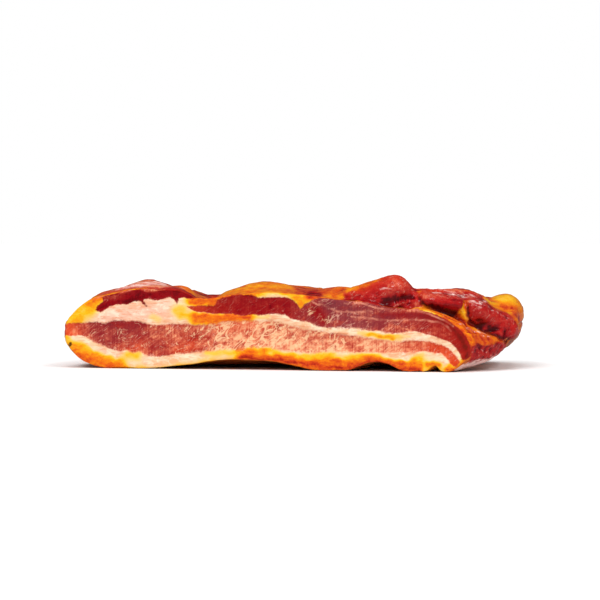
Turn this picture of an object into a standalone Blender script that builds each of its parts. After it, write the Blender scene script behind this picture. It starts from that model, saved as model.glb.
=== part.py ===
"""One slab of smoked pancetta, about 23 cm long, lying on its rind side.

+X runs along the fresh cut face to the right, +Y from the cut face to the back, +Z up.
The slab is one piece of pork belly, so it is one solid. Its skin is a lattice of quads
wrapped round a box. The rows follow the seams between fat and lean, so that the streaks
stand out as relief on all four sides, and dried muscle strands swell out of the upper side.
The tables are in millimetres, with x and z as on the cut face. The slab is centred and
turned into metres at the end.
"""

import math

import bpy
import numpy as np
from mathutils import Vector, noise

MM = 0.001

# Driving sizes of the slab
DEPTH = 104.0
CUT_Y = -DEPTH / 2

# Rim of the cut face from the left nose to the right end: (x, z)
CUT_TOP = (
    (-113.5, 25.5), (-109.5, 31), (-102, 36), (-91, 39.2), (-78, 41.3), (-66, 41), (-55, 40.5),
    (-45, 36.8), (-30, 38.3), (-14, 39.3), (5, 38.3), (20, 37), (38, 35.3), (50, 33), (66, 31.5),
    (75, 29.3), (82, 26), (88, 21), (91.5, 16.5),
)
CUT_BOTTOM = (
    (-113.5, 10.5), (-109.5, 5.5), (-102.5, 2.4), (-95, 0.3), (-80, 0.3), (-60, 2), (-38, 5),
    (-14, 6.3), (2, 3.6), (12, 1), (30, 1), (43, 5.6), (51, 4.4), (57, 1.6), (69, 0.3),
    (74.5, 4.2), (78.5, 0), (84, 2.5), (90, 7.5),
)
# How far both ends bulge at half height, and the right end once it is clear of the cut
LEFT_NOSE = 3.0
RIGHT_NOSE = 1.5
END_NOSE = 5.0

# Height of each seam between fat and lean on the cut face: (x, z)
LOWER_FAT_TOP = (
    (-116, 17), (-105, 16.5), (-95, 12.5), (-80, 9.5), (-65, 8), (-30, 9), (-12, 10.5),
    (8, 8.5), (25, 9.5), (55, 10), (74, 10), (82, 6), (88, 4),
)
LOWER_LEAN_TOP = (
    (-116, 23.5), (-100, 25), (-75, 25), (-60, 23.8), (-35, 23.4), (-20, 25.4), (0, 23.5),
    (20, 20), (45, 17.5), (70, 15.5), (82, 12), (89, 6.5),
)
MIDDLE_FAT_TOP = (
    (-116, 25), (-104, 30), (-92, 31.5), (-78, 33.5), (-66, 36), (-55, 33), (-45, 30.5),
    (-27, 28.5), (-5, 28.5), (8, 25.5), (20, 22.5), (45, 21.3), (70, 20), (83, 15.5), (91, 8),
)

# How far the upper side climbs behind the cut's rim: (x, height)
CLIMB = (
    (-114, 1), (-106, 2.6), (-96, 4.4), (-84, 4.8), (-70, 4.4), (-57, 2.2), (-45, 0.6), (-36, 4.2),
    (-24, 7.6), (-8, 6.2), (12, 5.2), (28, 7), (46, 8.8), (66, 12.2), (78, 14), (87, 16.5),
    (91.5, 15),
)
# Depth behind the cut at which that climb starts and ends: (x, depth)
CLIMB_START = ((-114, 2), (40, 2), (66, 5), (78, 8), (84, 12), (91.5, 15))
CLIMB_END = ((-114, 21), (40, 20), (66, 18), (78, 24), (84, 32), (91.5, 38))

# The right end curls up off the table: its height, over which depths and which x,
# what is left of it at the back, and the thickness that every edge keeps
CURL = 12.5
CURL_DEPTH = (8.0, 58.0)
CURL_X = (50.0, 91.0)
CURL_BACK = 4.0
THINNEST = 11.0

# Plan of both ends behind the cut: (y, how far the end moves along x)
LEFT_PLAN = ((-52, 0), (-40, -2), (-20, -3), (5, -1), (30, 1), (44, 5), (52, 13))
RIGHT_PLAN = ((-52, 0), (-36, 7), (-20, 12.5), (-4, 15), (12, 15), (30, 12), (44, 5), (52, -6))

# The back is rounded off over this depth, and the slab gets thinner toward it
BACK_ROUNDING = 14.0
BACK_THINNING = 6.5

# Relief of the streaks: fat stands proud of lean, more where smoke has dried the sides
CUT_RELIEF = 0.4
SMOKED_RELIEF = 1.1

# Shallow valleys that the ribs left across the upper side
RIB_SPACING = 31.0
RIB_DEPTH = 0.9

# Deeper valleys in the upper side: from (x, y) to (x, y), width, depth
VALLEYS = (
    ((-43, -50), (-66, 50), 8.0, 3.6),
    ((58, -45.5), (86, -41.5), 2.2, 1.6),
)

# Dried muscle strands and fat knobs, each by its two ends: (x, y, z, radius). The skin is
# pushed out along its own normal to the round of the strand, with a furrow beside it.
STRANDS = (
    ((28, -39, 35.5, 6.0), (52, -39.5, 39.8, 9.2)),
    ((66, -48.2, 30.6, 2.6), (80, -47.6, 27.4, 2.6)),
    ((80, -47.6, 27.4, 2.6), (93, -43.0, 17.5, 2.6)),
    ((65, -41.0, 37.0, 4.0), (82, -36.5, 33.2, 4.2)),
    ((90, -31.5, 31.0, 6.2), (107, -14, 23.0, 6.4)),
    ((102.5, 0, 29.0, 9.8), (102.5, 9, 28.5, 9.8)),
    ((76, -20, 35.5, 5.5), (94, -10, 32.5, 5.5)),
    ((-88, -26, 33.0, 8.0), (-62, -20, 35.5, 8.0)),
    ((-86, 14, 28.5, 8.5), (-44, 22, 29.5, 8.0)),
    ((-26, -14, 36.5, 7.5), (8, -8, 35.0, 7.5)),
    ((-14, 26, 32.0, 8.0), (36, 22, 32.0, 8.0)),
    ((30, -14, 35.0, 7.0), (62, -8, 34.2, 7.0)),
    ((60, 20, 32.5, 7.0), (90, 28, 28.0, 7.5)),
)
FURROW_WIDTH = 4.0
FURROW_DEPTH = 2.6

# Uneven lumps over the whole skin: (size, height)
LUMPS = ((26.0, 0.9), (11.0, 0.5))

# How much of the underside is pressed flat by the slab's own weight
SETTLING = 0.9

# Lattice cells along x, back along y, and up each of the four bands, and how much closer
# they stand near the right end and near the cut
COLUMNS = 70
RANKS = 23
BAND_ROWS = (3, 3, 3, 4)
END_CROWDING = 1.0
FRONT_CROWDING = 1.7


def smooth_curve(points, x):
    """Cubic curve through (x, value) points, read at x and held level past both ends."""
    known, values = np.array(points, float).T
    slopes = np.gradient(values, known)
    x = np.clip(x, known[0], known[-1])
    k = np.clip(np.searchsorted(known, x) - 1, 0, len(known) - 2)
    span = known[k + 1] - known[k]
    t = (x - known[k]) / span
    start = values[k] * (1 + 2 * t) * (1 - t) ** 2 + slopes[k] * span * t * (1 - t) ** 2
    end = values[k + 1] * t * t * (3 - 2 * t) + slopes[k + 1] * span * t * t * (t - 1)
    return start + end


def along_outline(points, share):
    """(x, z) at a share of the way along an outline's own length."""
    xz = np.array(points, float)
    walked = np.concatenate([[0], np.cumsum(np.hypot(*np.diff(xz, axis=0).T))])
    at = share * walked[-1]
    x = smooth_curve(np.column_stack([walked, xz[:, 0]]), at)
    z = smooth_curve(np.column_stack([walked, xz[:, 1]]), at)
    return x, z


def ease(t):
    """0 to 1 with level ends."""
    t = np.clip(t, 0, 1)
    return t * t * (3 - 2 * t)


def box_skin(cells):
    """Lattice points on a box's skin, and its quads as indices into them, facing out."""
    index = {}
    quads = []
    for axis in range(3):
        a, b = (axis + 1) % 3, (axis + 2) % 3
        for side in (0, cells[axis]):
            for i in range(cells[a]):
                for j in range(cells[b]):
                    quad = []
                    for di, dj in ((0, 0), (1, 0), (1, 1), (0, 1)):
                        corner = [0, 0, 0]
                        corner[axis], corner[a], corner[b] = side, i + di, j + dj
                        quad.append(index.setdefault(tuple(corner), len(index)))
                    quads.append(quad if side else quad[::-1])
    return np.array(list(index)), np.array(quads)


def band_heights(share_x, row):
    """Share of the slab's thickness at each row, whose bands follow the seams, and the relief there."""
    share_x = np.clip(share_x, 0.05, 0.86)
    top_x, top = along_outline(CUT_TOP, share_x)
    low_x, bottom = along_outline(CUT_BOTTOM, share_x)
    x, thick = (top_x + low_x) / 2, top - bottom
    seams = [bottom]
    for seam, room in ((LOWER_FAT_TOP, 0.45), (LOWER_LEAN_TOP, 0.3), (MIDDLE_FAT_TOP, 0.15)):
        seams.append(np.clip(smooth_curve(seam, x), seams[-1] + 0.08 * thick, top - room * thick))
    seams.append(top)
    first_rows = np.concatenate([[0], np.cumsum(BAND_ROWS)])
    height, relief = np.zeros_like(x), np.zeros_like(x)
    for band, (first, last) in enumerate(zip(first_rows[:-1], first_rows[1:])):
        inside = (row >= first) & (row <= last)
        share = (row - first) / (last - first)
        level = seams[band] + share * (seams[band + 1] - seams[band])
        height = np.where(inside, level, height)
        swell = np.sin(math.pi * np.clip(share, 0, 1)) * (1 if band % 2 == 0 else -1)
        relief = np.where(inside, swell, relief)
    return (height - bottom) / thick, relief


def crowded_share(line, count, density):
    """Share along a side at each lattice line, closer together where the density is higher."""
    even = np.linspace(0, 1, 400)
    crowded = np.cumsum(density(even))
    crowded = (crowded - crowded[0]) / (crowded[-1] - crowded[0])
    return np.interp(line / count, crowded, even)


def slab_points(lattice):
    """Places every lattice point on the plain slab. Returns the points and the streak relief there."""
    share_x = crowded_share(
        lattice[:, 0], COLUMNS, lambda s: 1 + END_CROWDING * ease((s - 0.6) / 0.15)
    )
    share_y = crowded_share(
        lattice[:, 1], RANKS, lambda s: 1 + FRONT_CROWDING * ease((0.35 - s) / 0.2)
    )
    y = CUT_Y + DEPTH * share_y
    behind = y - CUT_Y

    top_x, top_z = along_outline(CUT_TOP, share_x)
    low_x, low_z = along_outline(CUT_BOTTOM, share_x)
    height, relief = band_heights(share_x, lattice[:, 2])
    x = low_x + height * (top_x - low_x)
    nose = (4 * height * (1 - height)) ** 0.7
    x -= LEFT_NOSE * nose * np.clip(1 - share_x * 12, 0, 1)
    right_nose = RIGHT_NOSE + (END_NOSE - RIGHT_NOSE) * ease(behind / 20)
    x += right_nose * nose * ease((share_x - 0.85) / 0.15)

    start, end = smooth_curve(CLIMB_START, top_x), smooth_curve(CLIMB_END, top_x)
    settled = ease((behind - start) / (end - start))
    rib = RIB_DEPTH * np.sin(2 * math.pi * (x + 0.35 * y) / RIB_SPACING)
    to_back = np.clip((behind - (DEPTH - BACK_ROUNDING)) / BACK_ROUNDING, 0, 1)
    back_drop = BACK_ROUNDING * (1 - np.sqrt(1 - 0.9 * to_back ** 2))
    top = top_z + (smooth_curve(CLIMB, top_x) + rib) * settled - back_drop
    top -= BACK_THINNING * np.sin(math.pi / 2 * share_y)

    curl_in = ease((x - CURL_X[0]) / (CURL_X[1] - CURL_X[0]))
    curl = CURL * curl_in * ease((behind - CURL_DEPTH[0]) / (CURL_DEPTH[1] - CURL_DEPTH[0]))
    curl -= (CURL - CURL_BACK) * curl_in * ease((behind - CURL_DEPTH[1]) / (DEPTH - CURL_DEPTH[1]))
    bottom = low_z * (1 - 0.6 * ease(behind / 30)) + curl + 0.6 * back_drop
    thick = top - bottom
    top = bottom + (thick + THINNEST + np.sqrt((thick - THINNEST) ** 2 + 30)) / 2
    z = bottom + height * (top - bottom)

    x += (1 - share_x) * smooth_curve(LEFT_PLAN, y) + share_x ** 3 * smooth_curve(RIGHT_PLAN, y)
    y = y - 4.0 * to_back * (2 * height - 1) ** 4
    points = press_valleys(np.column_stack([x, y, z]), height * ease(behind / 4))
    return points, relief * np.clip((top - bottom - 8) / 22, 0, 1)


def vertex_normals(points, quads):
    """Outward unit normal of the skin at each point."""
    diagonals = points[quads[:, 2]] - points[quads[:, 0]], points[quads[:, 3]] - points[quads[:, 1]]
    faces = np.cross(*diagonals)
    normals = np.zeros_like(points)
    for corner in range(4):
        np.add.at(normals, quads[:, corner], faces)
    return normals / np.linalg.norm(normals, axis=1, keepdims=True)


def raise_streaks(points, quads, relief):
    """Lets the fat bands stand out of the sides and the lean bands sink."""
    normals = vertex_normals(points, quads)
    behind = ease((points[:, 1] - CUT_Y - 1) / 4)
    amount = CUT_RELIEF + (SMOKED_RELIEF - CUT_RELIEF) * behind
    sideways = 1 - np.clip(np.abs(normals[:, 2]), 0, 1) ** 2
    return points + normals * (relief * amount * sideways)[:, None]


def evened(values, quads):
    """Each value mixed with the mean over its quads, which rounds off creases in the skin."""
    total, count = np.zeros_like(values), np.zeros(len(values))
    for corner in range(4):
        np.add.at(total, quads[:, corner], values[quads].mean(axis=1))
        np.add.at(count, quads[:, corner], 1)
    return (total.T / count).T


def press_valleys(points, share_up):
    """Sinks the upper side along each valley; the skin below it follows less."""
    for (x0, y0), (x1, y1), width, depth in VALLEYS:
        start, along = np.array((x0, y0)), np.array((x1 - x0, y1 - y0))
        t = np.clip((points[:, :2] - start) @ along / (along @ along), 0, 1)
        away = np.linalg.norm(points[:, :2] - start - t[:, None] * along, axis=1)
        points[:, 2] -= depth * np.exp(-((away / width) ** 2)) * share_up ** 3
    return points


def swell_strands(points, quads):
    """Pushes the skin out along its normals to each tapering round strand, with a furrow beside it."""
    normals = vertex_normals(points, quads)
    for _ in range(4):
        normals = evened(normals, quads)
    normals /= np.linalg.norm(normals, axis=1, keepdims=True)
    push, furrow = np.zeros(len(points)), np.zeros(len(points))
    for near, far in np.array(STRANDS, float):
        axis = far[:3] - near[:3]
        t = np.clip((points - near[:3]) @ axis / (axis @ axis), 0, 1)
        radius = near[3] + t * (far[3] - near[3])
        away = points - (near[:3] + t[:, None] * axis)
        sunk = np.sum(away * normals, axis=1)
        aside = np.linalg.norm(away - sunk[:, None] * normals, axis=1)
        round_top = np.sqrt(np.clip(radius ** 2 - aside ** 2, 0, None)) - sunk
        within = (aside < radius) & (np.abs(sunk) < 2 * radius)
        push = np.where(within, np.maximum(push, round_top), push)
        edge = np.sqrt(np.clip(radius ** 2 - sunk ** 2, 0, None))
        beside = np.clip((aside - edge) / FURROW_WIDTH, 0, 1) * (np.abs(sunk) < radius)
        furrow = np.maximum(furrow, np.sin(math.pi * beside) ** 2)
    amount = np.where(push > 0, push, -FURROW_DEPTH * furrow) * ease((points[:, 1] - CUT_Y) / 4)
    amount = 0.65 * amount + 0.35 * evened(amount, quads)
    return points + normals * amount[:, None]


def add_lumps(points, quads):
    """Uneven lumps along the skin's normals, the same on each run."""
    normals = vertex_normals(points, quads)
    amount = np.zeros(len(points))
    for size, height in LUMPS:
        amount += [height * noise.noise(Vector(p) / size) for p in points]
    on_cut = points[:, 1] < CUT_Y + 1.5
    return points + normals * (amount * np.where(on_cut, 0.5, 1.0))[:, None]


def rest_at_origin(points):
    """Flattens the underside where it meets the table, and centres the slab over the origin."""
    points[:, 2] = np.maximum(points[:, 2] - SETTLING, 0)
    middle = (points.min(axis=0) + points.max(axis=0)) / 2
    points[:, :2] -= middle[:2]
    return points


def cured_belly():
    """Red-brown cured pork, moist from its fat."""
    material = bpy.data.materials.new("cured_belly")
    material.use_nodes = True
    shader = material.node_tree.nodes["Principled BSDF"]
    shader.inputs["Base Color"].default_value = (0.56, 0.13, 0.06, 1)
    shader.inputs["Roughness"].default_value = 0.35
    shader.inputs["Metallic"].default_value = 0.0
    return material


def pancetta():
    """The slab as one closed mesh object."""
    lattice, quads = box_skin((COLUMNS, RANKS, sum(BAND_ROWS)))
    points, relief = slab_points(lattice)
    points = raise_streaks(points, quads, relief)
    points = swell_strands(points, quads)
    points = rest_at_origin(add_lumps(points, quads))
    mesh = bpy.data.meshes.new("pancetta")
    mesh.from_pydata((points * MM).tolist(), [], quads.tolist())
    mesh.materials.append(cured_belly())
    mesh.shade_smooth()
    slab = bpy.data.objects.new("pancetta", mesh)
    bpy.context.scene.collection.objects.link(slab)
    return slab


for old in list(bpy.data.objects):
    bpy.data.objects.remove(old)
pancetta()
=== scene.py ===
"""Looks of one slab of smoked pancetta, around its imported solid.

The solid's own mesh is refined into a skin. The skin gets the finer relief, and a value at
each point for what lies there: lean or fat, fresh cut or smoked, and how it is stained.
The material turns those values into colour, gloss and grain. Tables are in millimetres, in
the frame's axes, and on the cut face they give (x, z).
"""

import math

import bmesh
import bpy
import numpy as np
from mathutils import Matrix, Vector, noise
from mathutils.bvhtree import BVHTree
from mathutils.kdtree import KDTree


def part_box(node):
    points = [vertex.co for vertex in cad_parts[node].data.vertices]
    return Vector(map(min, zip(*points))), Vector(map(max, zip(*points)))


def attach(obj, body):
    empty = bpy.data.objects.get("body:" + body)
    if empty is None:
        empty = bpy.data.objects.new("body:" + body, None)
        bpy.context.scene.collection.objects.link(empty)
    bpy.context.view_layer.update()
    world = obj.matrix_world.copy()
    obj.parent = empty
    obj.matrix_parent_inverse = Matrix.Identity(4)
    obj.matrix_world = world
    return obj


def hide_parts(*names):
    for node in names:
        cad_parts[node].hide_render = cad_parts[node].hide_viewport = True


MM = 0.001


def srgb(red, green, blue):
    """A colour from its 0 to 255 screen values."""
    return tuple(
        (c / 255 / 12.92) if c <= 10 else ((c / 255 + 0.055) / 1.055) ** 2.4
        for c in (red, green, blue)
    ) + (1.0,)


# The camera: angle round the slab and above the table, distance, point it looks at, lens
AZIMUTH = 12.0
ELEVATION = 1.5
DISTANCE = 1200.0
AIM = (-0.93, -0.12, 33.85)
LENS = 137.4

# Outlines of the lean on the cut face: (x, z)
LOWER_LEAN = (
    (-119, 21), (-110.5, 22.7), (-105, 23), (-96, 23.6), (-92, 22.4), (-88, 24), (-79.5, 24.2),
    (-73.5, 24.1), (-69, 22.6), (-64, 22), (-57.5, 23), (-47, 22.3), (-37.5, 22.5), (-30, 24),
    (-20.5, 24.5), (-14.5, 24.8), (-3.5, 24.6), (5, 22.2), (15, 20.2), (20.5, 19.8),
    (30.5, 18.4), (38, 17.5), (46, 16.3), (57, 14.9), (67, 15.2), (76, 14.9), (81, 13.6),
    (84.5, 12), (88, 9), (91, 5), (89, 2.2), (87, 3.5), (84.5, 7), (81, 9.3), (75, 9.8),
    (61, 9.4), (51, 9.3), (35.5, 9), (25.5, 9.2), (15, 8.5), (5, 9.6), (-5.5, 11.3),
    (-13, 11.7), (-21, 10.4), (-31, 9.5), (-43, 8.6), (-52, 7.5), (-62.5, 6.4), (-69.5, 6.1),
    (-74, 8.8), (-76, 7.8), (-81, 9.8), (-83, 8.5), (-88.5, 9.7), (-94, 12), (-99, 14),
    (-101.5, 15.7), (-105, 16.5), (-119, 16),
)
UPPER_LEAN = (
    (-48.5, 31.4), (-41.5, 32), (-34.5, 32), (-32.5, 35), (-30.5, 36.3), (-22.5, 38), (-15.5, 38),
    (-11.5, 36.4), (0, 36.7), (6, 35.7), (8.5, 33.2), (10, 31), (12.5, 33.2), (15, 34.5),
    (19.5, 36.6), (25.5, 38), (33, 38.8), (41, 38.6), (50, 37.4), (56, 35.6), (62, 34.4),
    (67, 32.4), (71, 31), (76.5, 29.2), (81, 27.7), (85, 26), (89, 22.8), (92.5, 19.4),
    (95.5, 15.5), (96.5, 11), (96, 7.4), (93.5, 5.4), (91.5, 6), (90, 10), (87.5, 13.4),
    (83.5, 15.6), (78, 17.6), (71, 19.5), (65, 20), (57, 18.6), (50, 20), (40.5, 21), (33, 21.4),
    (25.5, 21.6), (19.5, 22), (12.5, 24.7), (5, 26), (2, 28), (-2.5, 28.4), (-7.5, 27.6),
    (-13, 27.8), (-18, 27), (-26, 28), (-36.5, 28.2), (-43, 29), (-46.5, 30),
)
CRIMSON_LEAN = (
    (-97, 29.3), (-95.5, 32), (-93, 34), (-93.5, 36), (-92, 38), (-87.5, 38.7), (-82.5, 38.8),
    (-78.5, 40), (-74.5, 41.6), (-72.5, 40.4), (-69.5, 39), (-65, 39.4), (-61, 41.2),
    (-56, 43), (-51, 43), (-46, 40.5), (-42.5, 36.6), (-47, 35.4), (-50.5, 36.2), (-53, 36),
    (-53.5, 32.9), (-55.5, 35.4), (-57.5, 36.4), (-61, 35.4), (-64.5, 34.8), (-68.5, 35.3),
    (-71.5, 34.8), (-68.5, 31.3), (-70.5, 32.3), (-73, 34.3), (-76, 34), (-80, 32.5),
    (-85, 32.2), (-89, 31.4), (-92, 29.8), (-94, 28.8),
)
SALMON_LEAN = (
    (-97, 35), (-92.5, 37.2), (-87.5, 37.8), (-82.5, 37.9), (-78.5, 39.1), (-74.5, 40.7),
    (-72.5, 39.5), (-69.5, 38.1), (-65, 38.5), (-61, 40.3), (-56, 42.1), (-51, 42.1),
    (-46, 39.6), (-43, 38), (-40, 42), (-48, 48), (-75, 48), (-92, 43), (-99, 38),
)

# Tone of each lean along x: (x, dark, pale mottling, warm, grey)
LOWER_TONE = (
    (-114, 0.26, 0, 1.3, 0), (-109, 0.30, 0, 0.9, 0), (-103, 0.40, 0.2, 0.2, 0.2),
    (-98, 0.40, 0.25, 0.05, 0.4), (-80, 0.40, 0.3, 0.05, 0.4), (-60, 0.40, 0.25, 0.1, 0.2),
    (-45, 0.38, 0.45, 0.1, 0), (-30, 0.22, 0.8, 0.1, 0), (-5, 0.155, 0.85, 0.05, 0),
    (15, 0.15, 0.6, 0, 0), (30, 0.22, 0.4, 0.05, 0), (60, 0.15, 0.36, 0.1, 0),
    (76, 0.29, 0.15, 0.6, 0), (88, 0.46, 0, 0.95, 0),
)
UPPER_TONE = (
    (-48, 0.58, 0, 0.35, 0), (-34, 0.68, 0, 0.1, 0), (-20, 0.68, 0, 0, 0), (4, 0.64, 0.05, 0, 0),
    (14, 0.52, 0.16, 0, 0.5), (28, 0.44, 0.3, 0, 0.9), (42, 0.41, 0.26, 0, 0.8),
    (60, 0.45, 0.2, 0, 0.4), (78, 0.55, 0, 0.1, 0.1), (92, 0.7, 0, 0.15, 0),
)
CRIMSON_TONE = (
    (-96, 0.76, 0, 0, 0), (-88, 0.74, 0, 0, 0), (-80, 0.78, 0, 0, 0), (-70, 0.9, 0, 0, 0),
    (-45, 0.84, 0, 0, 0),
)
SALMON_TONE = (
    (-97, 0.2, 0, 1, 0), (-88, 0.2, 0, 0.5, 0), (-70, 0.24, 0, 0.3, 0), (-45, 0.34, 0, 0.3, 0),
)

# Bands on the cut face: values they change, their line (x, z), half width, amount
CUT_BANDS = (
    ("dark", (
        (50, 28), (61, 28.3), (69, 28.4), (77, 26.8), (82, 25.2), (86.5, 22), (90.5, 17.5),
        (93.5, 12), (94, 8),
    ), 1.7, 0.34),
    ("dark", ((50, 30.3), (60, 30.4), (70, 30.2)), 0.8, -0.2),
    ("dark", ((-92, 23), (-84, 22), (-72, 22.5)), 2.2, 0.34),
    ("dark", ((50, 32.2), (58, 31.8), (64, 32.2)), 0.9, 0.3),
    ("dark", ((22, 33), (27, 33.5)), 2.2, 0.34),
    ("dark", ((31, 31.5), (42, 32)), 2.2, 0.18),
    ("dark", ((18, 30), (22, 25.5)), 3, 0.16),
    ("grey", ((18, 30), (22, 25.5)), 3.5, -0.7),
    # Painted shade along the crimson streak's lower edge, and a painted highlight on its upper
    # part
    ("dark", ((-94, 31.2), (-86, 33), (-76, 34.5)), 1.3, 0.14),
    ("dark", ((-91, 35.2), (-86, 36.5)), 1.6, -0.08),
    ("dark", ((-33, 32), (-31, 35.5)), 1.6, -0.12),
    ("warm", ((-80, 9.5), (-72, 12)), 3.2, 0.6),
    ("warm", ((-54, 9), (-46, 12)), 3, 0.5),
    ("warm", ((-36, 23.5), (-26, 22), (-18, 22.5)), 3, 0.45),
    # Painted highlight on the crimson streak's upper part, and painted shade below it
    ("dark", ((-92, 36), (-84, 36.8)), 1.8, -0.14),
    ("dark", ((-84, 34), (-74, 36)), 1.6, 0.1),
    ("warm", ((-14.5, 13), (-14.5, 23.5)), 0.9, 0.6),
    ("warm", ((-13, 22.8), (-5, 22.6)), 1.8, 0.5),
    ("warm", ((-48, 31), (-40, 30.5)), 2, 0.2),
    ("pale", ((26, 26), (30, 24)), 3.5, 0.4),
    ("pale", ((-9, 19), (-5, 15)), 5, 0.4),
    ("pale", ((23, 13), (28, 15)), 4, 0.6),
    ("pale", ((15, 31), (18, 27)), 2, 0.25),
    ("yellow", ((-108, 25), (-104, 29.5), (-100, 31.5)), 5.5, 1.4),
    ("yellow", ((-112, 12), (-106, 10), (-101, 7.5)), 4.8, 1.5),
    ("yellow", ((-95, 8.5), (-90, 6.5)), 2.6, 1),
    ("yellow", ((-80, 7), (-74, 6.6)), 2.6, 0.9),
    ("yellow", ((-54, 30.3), (-52, 30.5)), 3, 0.9),
    ("yellow", ((-52, 27), (-45, 26.5)), 2.4, 1),
    ("gold", ((9, 36.5), (11, 33)), 3.4, 1.3),
    ("yellow", ((-38, 8.4), (-20, 9), (-5, 10), (8, 7.2), (24, 7)), 1.9, 0.9),
    ("yellow", ((22, 8), (28, 8)), 2.4, 0.9),
    ("yellow", ((33, 7), (50, 7.5)), 1.7, 0.8),
    ("yellow", ((68, 5.8), (72, 6)), 2.5, 1),
    ("yellow", ((-66, 26), (-63, 24.5)), 2.2, 0.6),
    ("yellow", ((-43, 25.5), (-38, 25.5)), 2.6, 0.9),
    ("yellow", ((-12, 27), (-6, 26.5)), 1.6, 0.5),
    ("yellow", ((56, 17), (66, 17.3)), 1.2, 0.45),
    ("orange", ((-42, 25.5), (-30, 25.6), (-16.5, 26.5)), 3.3, 1.3),
    ("orange", (
        (-46, 34.8), (-40, 34.5), (-34, 34), (-32, 38.2), (-22, 40), (-12, 40.4),
    ), 2.8, 1.5),
    ("orange", ((-93, 38.5), (-84, 40), (-76, 42), (-66, 41.5), (-58, 43)), 2, 1.3),
    ("cream", ((-12, 38.2), (-4, 38.3), (3, 37.6)), 0.5, 0.5),
    ("yellow", ((40, 19), (46, 18.4), (60, 16.6)), 1.5, 0.6),
    ("orange", ((46, 18), (51, 17.3), (57, 16.6)), 1.3, 0.62),
    ("orange", ((-22, 10.3), (-8, 9.6)), 1.8, 0.9),
    ("orange", ((-107, 7.5), (-102, 4.5), (-96, 2), (-84, 1.5)), 3.4, 1.1),
    ("orange", ((-95, 5.5), (-90, 5)), 2.6, 0.7),
    ("orange", ((-99, 33), (-95, 35.5), (-93.5, 38)), 2.6, 1.1),
    ("orange", (
        (-20, 6.6), (0, 6.2), (14, 4.2), (36, 4.3), (46, 5.8), (58, 3.8), (71, 3.2),
    ), 1.7, 1.4),
    ("orange", ((75, 3.3), (77, 4.5), (80, 3.4)), 1.5, 1.2),
    ("red", ((15, 36.6), (24, 38.8), (36, 40), (50, 39)), 2, 1.3),
    ("orange", ((19, 38.8), (23, 39.4)), 1.2, 0.9),
    ("orange", ((84, 27), (90, 22), (95, 15), (97.5, 8)), 3.2, 1.4),
    ("red", ((92, 20), (95.5, 15), (97.5, 9)), 1.8, 0.6),
    ("orange", ((86, 1.5), (89, 0), (92.4, 3), (96, 7)), 2.2, 1.2),
    ("gold", ((-14, 40.4), (-4, 40.2), (4, 39.6), (9, 37.5)), 1.8, 1.1),
    ("orange", (
        (-20, 3.2), (0, 2.6), (14, 0.8), (36, 0.8), (46, 2.2), (58, 0.5), (71, 0),
    ), 1.6, 1.3),
    ("red", (
        (-22, 6), (-7, 5.6), (0, 5), (12, 3.2), (31, 1.9), (38, 2.3), (46, 4.2), (58, 2.2),
        (71, 1.2),
    ), 1.3, 0.9),
    ("pink", ((-92, 26), (-75, 28), (-62, 30), (-60, 33)), 5.5, 1),
    ("pink", ((-92, 9.5), (-82, 6), (-70, 3.5)), 3, 0.5),
    ("pink", ((-46, 33.5), (-38, 33)), 2, 1),
    ("cream", ((-108, 15.8), (-103, 15), (-99.5, 12.2), (-92, 8.6), (-86, 6.8)), 1.9, 0.95),
)

# Pale threads of tissue across the cut lean: (x, z)
THREADS = (
    ((21.3, 33.3), (25.3, 31.3), (29.4, 29.6), (38, 29.4), (46.7, 29.5)),
    ((33, 33.9), (40.7, 34.2), (48.8, 31.5), (55, 31.2)),
    ((16.2, 34.3), (19.2, 32.8), (21.5, 33.2)),
    ((50.7, 25.5), (60.8, 25.6), (73.4, 25.7), (80.8, 24.4), (84, 22.5), (86, 20.5)),
    ((62, 33), (67, 31.5), (76, 28.3), (83, 25.5), (87, 22.8)),
    ((36, 26.8), (44, 26.4), (52, 25.6)),
)

# Lean that shows behind the rim, as outlines in pixels of the 600 pixel picture
SEEN_LUMP = (
    (343, 301), (343, 294), (352, 291), (362, 289.5), (372, 284), (380, 279), (388, 275),
    (397, 274), (406, 276), (412, 285), (419, 290), (422, 298), (421, 304), (417, 304),
    (411, 308), (403, 311), (396, 314), (388, 314), (380, 312), (372, 310), (360, 309),
    (343, 308),
)
SEEN_ROLL_A = (
    (420, 304), (424, 299), (430, 297.5), (440, 297), (450, 297.5), (459, 299.5), (465, 303),
    (461, 306), (458, 310), (457.5, 317), (453, 318), (446, 315.5), (438, 311.5), (430, 308.5),
)
SEEN_ROLL_B = (
    (466.5, 309), (469, 302), (474, 298), (482, 299), (488, 304), (496, 308.5), (504, 312),
    (510, 316), (515, 322), (517, 330), (515, 338), (511, 345), (506, 340), (498, 336.5),
    (490, 333), (482, 330), (475, 326), (469, 321), (466.5, 315),
)
SEEN_LOW_RED = (
    (470, 346), (478, 343), (486, 345.5), (494, 343.5), (500, 340), (505, 343), (511, 341),
    (515, 346), (513, 351), (503, 357), (495, 360), (485, 363.5), (474, 366.5), (466, 366),
    (470, 357),
)
SEEN_FILM_A = (
    (419, 301), (419, 288), (440, 287), (462, 290), (484, 295), (480, 303), (462, 302),
    (440, 300.5),
)
SEEN_FOLD = (
    (394, 309), (398, 305.5), (405, 302.5), (412, 301), (419, 302), (421.5, 305), (419, 309),
    (414, 312), (409, 310), (403, 309.5), (398, 311),
)
SEEN_STRAND = (
    (306, 293), (312, 291), (320, 292.5), (323, 297), (330, 300), (338, 302), (338, 309),
    (322, 309), (312, 305), (307, 300),
)
SEEN_SALMON = (
    (97, 304), (103, 299), (106, 297.5), (113, 296), (122, 296), (130, 293.5), (137, 290.5),
    (141, 293), (147, 296), (155, 295), (163, 291.5), (176, 289.5), (186, 290), (194, 294),
    (199, 299), (206, 298), (202, 290), (190, 282), (178, 280), (150, 280), (120, 285),
    (100, 294), (94, 300),
)
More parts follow.
